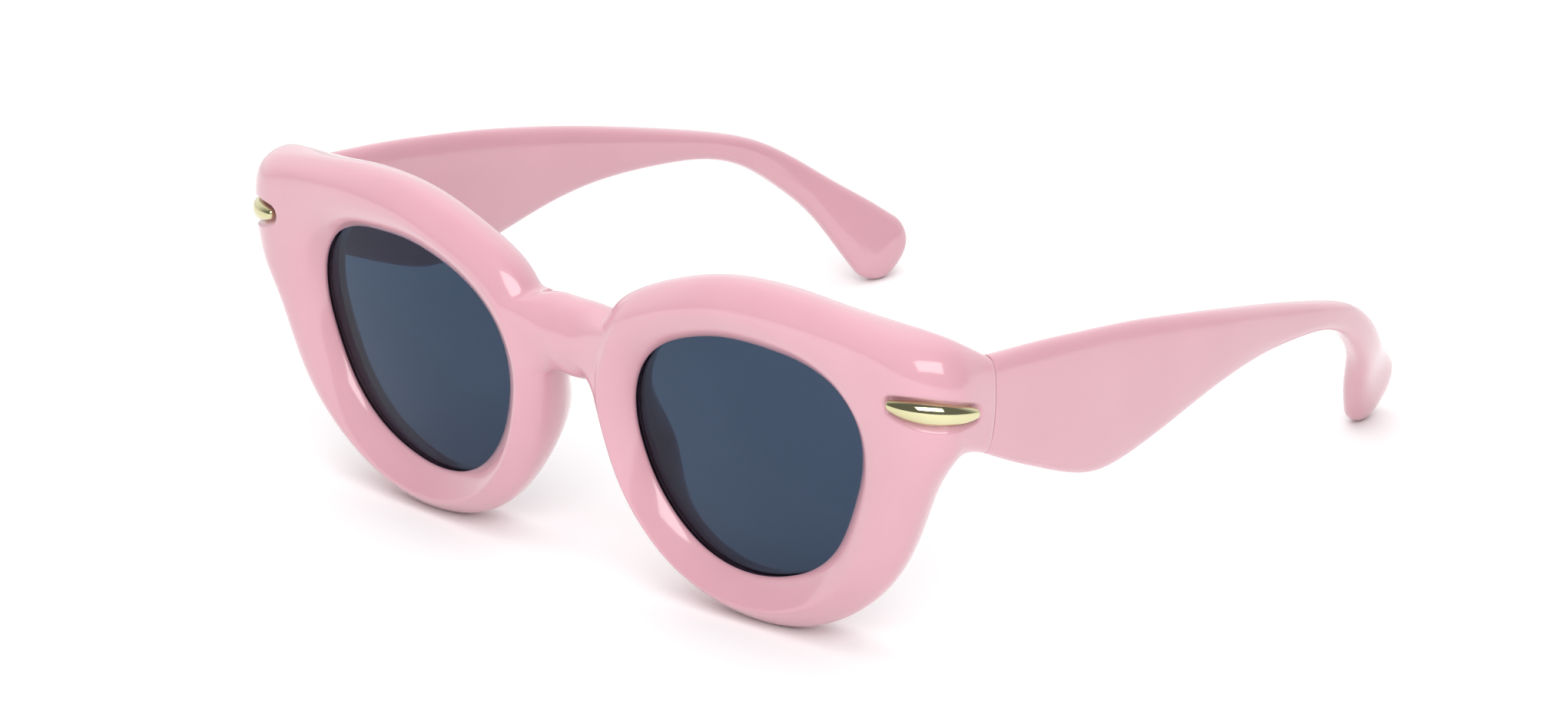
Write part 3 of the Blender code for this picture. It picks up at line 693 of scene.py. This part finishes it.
def temple_rings():
    """Sections of the temple from its butt to its rounded tip."""
    samples = spline([top + bottom for top, bottom in TEMPLE_EDGES], TEMPLE_STEPS)
    tops = [Vector(s[:3]) for s in samples]
    bottoms = [Vector(s[3:]) for s in samples]
    centres = [(top + bottom) / 2 for top, bottom in zip(tops, bottoms)]
    last = len(centres) - 1
    rings = []
    for i in range(last + 1):
        ahead = centres[min(i + 1, last)] - centres[max(i - 1, 0)]
        high = (tops[i] - bottoms[i]) / 2
        across = ahead.cross(high).normalized() * TEMPLE_HALF_THICK
        rings.append(pillow_ring(centres[i], across, high, TEMPLE_SIDES))
    onward = Vector(TEMPLE_TIP) - centres[last]
    base = rings[last]
    for turn in TIP_TURNS:
        grow = math.sin(math.radians(turn))
        shrink = math.cos(math.radians(turn)) ** TIP_POWER
        centre = centres[last] + onward * grow
        rings.append([centre + (Vector(p) - centres[last]) * shrink for p in base])
    return rings


def build_temple(word, side, material):
    mesh = mirrored(loft(temple_rings()), side)
    low, high, tall = TEMPLE_LEAF
    seat = rounded_box(
        (TEMPLE_SEAT_X - TEMPLE_SEAT_OPEN, low - GAP, TEMPLE_LEAF_Z - tall / 2 - GAP),
        (TEMPLE_SEAT_X, high + GAP, TEMPLE_LEAF_Z + tall / 2 + GAP),
        TEMPLE_SEAT_ROUND,
    )
    mesh = cut(mesh, mirrored(seat, side))
    rest_on_ground(mesh)
    mesh = round_edges(mesh, 0.16, 3)
    add_piece(
        "temple_moulding_" + word, mesh, material, word + "_temple", "temple_plastic",
        "temple_" + word, angle=60,
    )


# ---- trim -----------------------------------------------------------------------------------
def accent_centre(t):
    """Point of the accent's middle line at t, and the direction out of the front there."""
    run = ACCENT_LENGTH * t + ACCENT_START
    bend = min(max(run / ACCENT_BEND, 0.0), math.pi / 2)
    outward = Vector((math.sin(bend), -math.cos(bend), 0.0))
    point = Vector((*ACCENT_CORNER, 0.0)) + outward * ACCENT_BEND
    point += Vector((math.cos(bend), math.sin(bend), 0.0)) * (run - bend * ACCENT_BEND)
    point.z = accent_level(t)
    return point, outward


def build_accent(word, side, material):
    rings = []
    for i in range(ACCENT_RINGS + 1):
        t = 0.5 - 0.5 * math.cos(math.pi * i / ACCENT_RINGS)
        point, outward = accent_centre(t)
        swell = max(0.01, accent_swell(t))
        high = ACCENT_HALF_HIGH * swell
        proud = ACCENT_PROUD * swell + ACCENT_LIFT * min(1.0, 4 * swell)
        sunk = ACCENT_SINK * swell
        ring = []
        for k in range(ACCENT_SIDES):
            a = 2 * math.pi * (k + 0.5) / ACCENT_SIDES
            lift = (proud if math.sin(a) > 0 else sunk) * math.sin(a) + ACCENT_LIFT
            ring.append(point + Vector((0, 0, high * math.cos(a))) + outward * lift)
        rings.append(ring)
    mesh = mirrored(loft(rings), side)
    add_piece(
        "gold_almond_" + word, mesh, material, "front", "gold_trim", "accent_" + word, angle=60
    )


# ---- hinge hardware -------------------------------------------------------------------------
def build_screw(name, body, node, side, start, end, radius, head, material):
    """Slotted pan-head screw: the head lies just off the leaf, the shank runs into its hole."""
    start, end = Vector(start), Vector(end)
    along = (end - start).normalized()
    top = start - along * (GAP + HEAD_THICK)
    long = (end - top).length - SHANK_SHORT
    profile = [(distance, share * head) for distance, share in HEAD_OUTLINE]
    profile += [(HEAD_THICK, radius), (long, radius)]
    profile.append((long + SHANK_TIP[0], SHANK_TIP[1] * radius))
    mesh = mirrored(lathe(top, end, profile), side)
    reach = SLOT_REACH * head
    slot = rounded_box((-reach, -SLOT_HALF, -SLOT_OPEN), (reach, SLOT_HALF, SLOT_DEEP))
    turn = Vector((0, 0, 1)).rotation_difference(along).to_matrix().to_4x4()
    spin = Matrix.Rotation(math.radians(SLOT_TURN), 4, "Z")
    bmesh.ops.transform(slot, matrix=Matrix.Translation(top) @ turn @ spin, verts=slot.verts)
    mesh = cut(mesh, mirrored(slot, side))
    add_piece(name, mesh, material, body, "hinge_steel", node, angle=35)


def build_hinge_screws(word, side, material):
    x, y, z = PIVOT
    reach = 1.5 * KNUCKLE_HIGH + GAP
    build_screw(
        "pivot_screw_" + word, "front", "hinge_screw_" + word, side,
        (x, y, z + reach), (x, y, z - reach), PIVOT_RADIUS, 0.9 * KNUCKLE_RADIUS, material,
    )
    x, y = FRONT_LEAF[0] + FRONT_FIXING_IN, FRONT_SEAT_Y + GAP + LEAF_THICK
    inner_y = y - FRONT_FIXING_LONG
    for spot, rise in (("upper", FRONT_FIXING_RISE), ("lower", -FRONT_FIXING_RISE)):
        build_screw(
            "leaf_screw_" + spot + "_" + word, "front",
            "front_leaf_screw_" + spot + "_" + word, side,
            (x, y, z + rise), (x, inner_y, z + rise), FIXING_RADIUS, FIXING_HEAD, material,
        )
    x, z = TEMPLE_SEAT_X - GAP - LEAF_THICK, TEMPLE_LEAF_Z
    inner_x = x + TEMPLE_FIXING_LONG
    fore, aft = TEMPLE_LEAF[0] + TEMPLE_FIXING_FORE, TEMPLE_LEAF[1] - TEMPLE_FIXING_AFT
    for spot, y in (("fore", fore), ("aft", aft)):
        build_screw(
            "leaf_screw_" + spot + "_" + word, word + "_temple",
            "temple_leaf_screw_" + spot + "_" + word, side,
            (x, y, z), (inner_x, y, z), FIXING_RADIUS, FIXING_HEAD, material,
        )


def soften(node):
    """Round the edges of a carried-over piece."""
    weld = node.modifiers.new("weld", "WELD")
    weld.merge_threshold = CARRIED_WELD
    bevel = node.modifiers.new("round", "BEVEL")
    bevel.width = CARRIED_ROUND
    bevel.segments = 2
    bevel.limit_method = "ANGLE"
    bevel.angle_limit = math.radians(40)


# ---- materials ------------------------------------------------------------------------------
NOISE_RANGE = (0.3, 0.7)
MAP_RANGE = ("From Min", "From Max", "To Min", "To Max")


class Nodes:
    """Small helper that adds and links shader nodes."""

    def __init__(self, name):
        self.material = bpy.data.materials.new(name)
        self.material.use_nodes = True
        self.tree = self.material.node_tree
        self.shader = self.tree.nodes["Principled BSDF"]
        self.coords = self.tree.nodes.new("ShaderNodeTexCoord").outputs["Object"]

    def add(self, kind, **inputs):
        node = self.tree.nodes.new(kind)
        for key, value in inputs.items():
            self.feed(node.inputs[key.replace("_", " ")], value)
        return node

    def feed(self, socket, value):
        if isinstance(value, bpy.types.NodeSocket):
            self.tree.links.new(value, socket)
        else:
            socket.default_value = value

    def noise(self, scale, detail, stretch=None):
        vector = self.coords
        if stretch:
            vector = self.add("ShaderNodeMapping", Vector=vector, Scale=stretch).outputs[0]
        return self.add("ShaderNodeTexNoise", Vector=vector, Scale=scale, Detail=detail).outputs[0]

    def ramp(self, value, low, high):
        """Colour that turns from low to high over the usual range of a noise."""
        node = self.add("ShaderNodeValToRGB", Fac=value)
        for element, place, colour in zip(node.color_ramp.elements, NOISE_RANGE, (low, high)):
            element.position = place
            element.color = (*colour, 1.0)
        return node.outputs[0]

    def span(self, value, low, high):
        """Number that goes from low to high over the usual range of a noise."""
        node = self.add("ShaderNodeMapRange", Value=value)
        for key, number in zip(MAP_RANGE, (*NOISE_RANGE, low, high)):
            node.inputs[key].default_value = number
        return node.outputs[0]

    def bump(self, height, strength, distance):
        node = self.add("ShaderNodeBump", Height=height, Strength=strength, Distance=distance)
        return node.outputs[0]

    def set(self, **inputs):
        for key, value in inputs.items():
            self.feed(self.shader.inputs[key.replace("_", " ")], value)
        return self.material


def pink_plastic(name, deep, pale):
    n = Nodes(name)
    cloud = n.noise(55.0, 2.0)
    peel = n.noise(900.0, 2.0)
    dust = n.noise(2600.0, 4.0)
    return n.set(
        Base_Color=n.ramp(cloud, deep, pale),
        Roughness=n.span(dust, 0.16, 0.24),
        IOR=1.47,
        Coat_Weight=0.8,
        Coat_Roughness=0.03,
        Normal=n.bump(peel, 0.05, 0.0002),
    )


def tinted_lens(name):
    n = Nodes(name)
    cloud = n.noise(30.0, 2.0)
    dust = n.noise(1800.0, 3.0)
    return n.set(
        Base_Color=n.ramp(cloud, (0.038, 0.062, 0.106), (0.043, 0.069, 0.117)),
        Roughness=n.span(dust, 0.0, 0.02),
        IOR=1.2,
        Transmission_Weight=1.0,
        Normal=n.bump(n.noise(120.0, 1.0), 0.01, 0.0002),
    )


def pale_gold(name):
    n = Nodes(name)
    scratch = n.noise(300.0, 4.0, (1.0, 1.0, 9.0))
    tone = n.noise(140.0, 2.0)
    return n.set(
        Base_Color=n.ramp(tone, (0.62, 0.58, 0.34), (0.70, 0.66, 0.41)),
        Metallic=1.0,
        Roughness=n.span(scratch, 0.04, 0.09),
        Normal=n.bump(scratch, 0.04, 0.0001),
    )


def nickel_steel(name, stretch):
    n = Nodes(name)
    brush = n.noise(900.0, 5.0, stretch)
    tone = n.noise(200.0, 3.0)
    return n.set(
        Base_Color=n.ramp(tone, (0.56, 0.56, 0.57), (0.70, 0.70, 0.71)),
        Metallic=1.0,
        Roughness=n.span(brush, 0.16, 0.28),
        Normal=n.bump(brush, 0.05, 0.0001),
    )


def white_floor(name):
    n = Nodes(name)
    cloud = n.noise(3.0, 3.0)
    return n.set(
        Base_Color=n.ramp(cloud, (0.93, 0.93, 0.93), (0.95, 0.95, 0.95)),
        Roughness=0.7,
        Specular_IOR_Level=0.1,
    )


# ---- studio ---------------------------------------------------------------------------------
def build_floor():
    bm = bmesh.new()
    bmesh.ops.create_grid(bm, x_segments=8, y_segments=8, size=FLOOR_HALF)
    for vert in bm.verts:
        vert.co.z = -FLOOR_DROP
    mesh = mesh_from(bm)
    mesh.materials.append(white_floor("floor_paper"))
    floor = bpy.data.objects.new("studio_floor", mesh)
    bpy.context.scene.collection.objects.link(floor)


def compass(azimuth, elevation):
    """Direction from the object: azimuth from the front towards its left, in degrees."""
    a, e = math.radians(azimuth), math.radians(elevation)
    return (math.sin(a) * math.cos(e), -math.cos(a) * math.cos(e), math.sin(e))


LIGHT_TARGET = (0.0, 0.0, 0.03)
# name, direction from the object, distance and size in metres, power in watts, whether it
# shows in reflections
LIGHTS = [
    ("overhead_fill", (0.05, -0.1, 1.0), 1.5, (1.8, 1.8), 17.0, False),
    ("front_fill", compass(-8, 20), 1.5, (1.4, 0.9), 4.5, False),
    ("side_softbox", compass(52, 36), 1.3, (1.15, 0.68), 10.0, True),
]


def area_light(name, direction, distance, size, power, in_reflections):
    """A soft light that looks at the object from a direction given from the object."""
    light = bpy.data.lights.new(name, "AREA")
    light.shape = "RECTANGLE"
    light.size, light.size_y = size
    light.energy = power
    obj = bpy.data.objects.new(name, light)
    back = Vector(direction).normalized()
    obj.location = Vector(LIGHT_TARGET) + back * distance
    obj.rotation_mode = "QUATERNION"
    obj.rotation_quaternion = back.to_track_quat("Z", "Y")
    obj.visible_glossy = in_reflections
    bpy.context.scene.collection.objects.link(obj)


# direction of the bright backdrop, where its edge starts and ends, and the two strengths
BACKDROP = (-0.68, 0.72, 0.12)
BACKDROP_EDGE = (-0.1, 0.8)
AIR_DARK, AIR_BRIGHT = 0.18, 1.1


def build_world():
    """Studio air: a dark room round the front, a bright backdrop behind the object."""
    world = bpy.data.worlds.new("studio_air")
    world.use_nodes = True
    tree = world.node_tree
    coords = tree.nodes.new("ShaderNodeTexCoord")
    facing = tree.nodes.new("ShaderNodeVectorMath")
    facing.operation = "DOT_PRODUCT"
    facing.inputs[1].default_value = BACKDROP
    level = tree.nodes.new("ShaderNodeMapRange")
    level.interpolation_type = "SMOOTHSTEP"
    for key, value in zip(MAP_RANGE, (*BACKDROP_EDGE, AIR_DARK, AIR_BRIGHT)):
        level.inputs[key].default_value = value
    tree.links.new(coords.outputs["Generated"], facing.inputs[0])
    tree.links.new(facing.outputs["Value"], level.inputs["Value"])
    tree.links.new(level.outputs[0], tree.nodes["Background"].inputs["Strength"])
    tree.nodes["Background"].inputs["Color"].default_value = (1.0, 1.0, 1.0, 1.0)
    bpy.context.scene.world = world


# place in metres, direction, roll, and focal length in millimetres on a 36 mm wide sensor
CAMERA_PLACE = (0.60751, -0.64080, 0.34776)
CAMERA_AHEAD = (-0.65335, 0.67017, -0.35214)
CAMERA_ROLL = math.radians(-1.82)
CAMERA_LENS = 133.85
CAMERA_SENSOR = 36.0


def build_camera():
    data = bpy.data.cameras.new("view_camera")
    data.lens = CAMERA_LENS
    data.sensor_width = CAMERA_SENSOR
    data.clip_start, data.clip_end = 0.01, 20.0
    camera = bpy.data.objects.new("view_camera", data)
    ahead = Vector(CAMERA_AHEAD).normalized()
    level = ahead.cross(Vector((0, 0, 1))).normalized()
    up = level.cross(ahead)
    right = level * math.cos(CAMERA_ROLL) + up * math.sin(CAMERA_ROLL)
    top = right.cross(ahead)
    turn = Matrix((right, top, -ahead)).transposed().to_4x4()
    camera.matrix_world = Matrix.Translation(CAMERA_PLACE) @ turn
    bpy.context.scene.collection.objects.link(camera)
    bpy.context.scene.camera = camera


# ---- assembly -------------------------------------------------------------------------------
def main():
    pink = pink_plastic("pink_gloss", (0.622, 0.327, 0.382), (0.650, 0.344, 0.403))
    lens = tinted_lens("smoke_blue_lens")
    gold = pale_gold("pale_gold")
    steel = nickel_steel("nickel_steel", (1.0, 1.0, 12.0))
    wire = nickel_steel("drawn_wire", (1.0, 12.0, 1.0))
    build_front(pink)
    for word, side in SIDES.items():
        build_lens(word, side, lens)
        build_temple(word, side, pink)
        build_accent(word, side, gold)
        build_hinge_screws(word, side, steel)
    for name, node in frame["nodes"].items():
        if not node.hide_render:
            node.data.materials.clear()
            node.data.materials.append(wire if "core" in name else steel)
            soften(node)
    build_floor()
    build_world()
    for light in LIGHTS:
        area_light(*light)
    build_camera()
    bpy.context.scene.view_settings.view_transform = "Standard"


main()
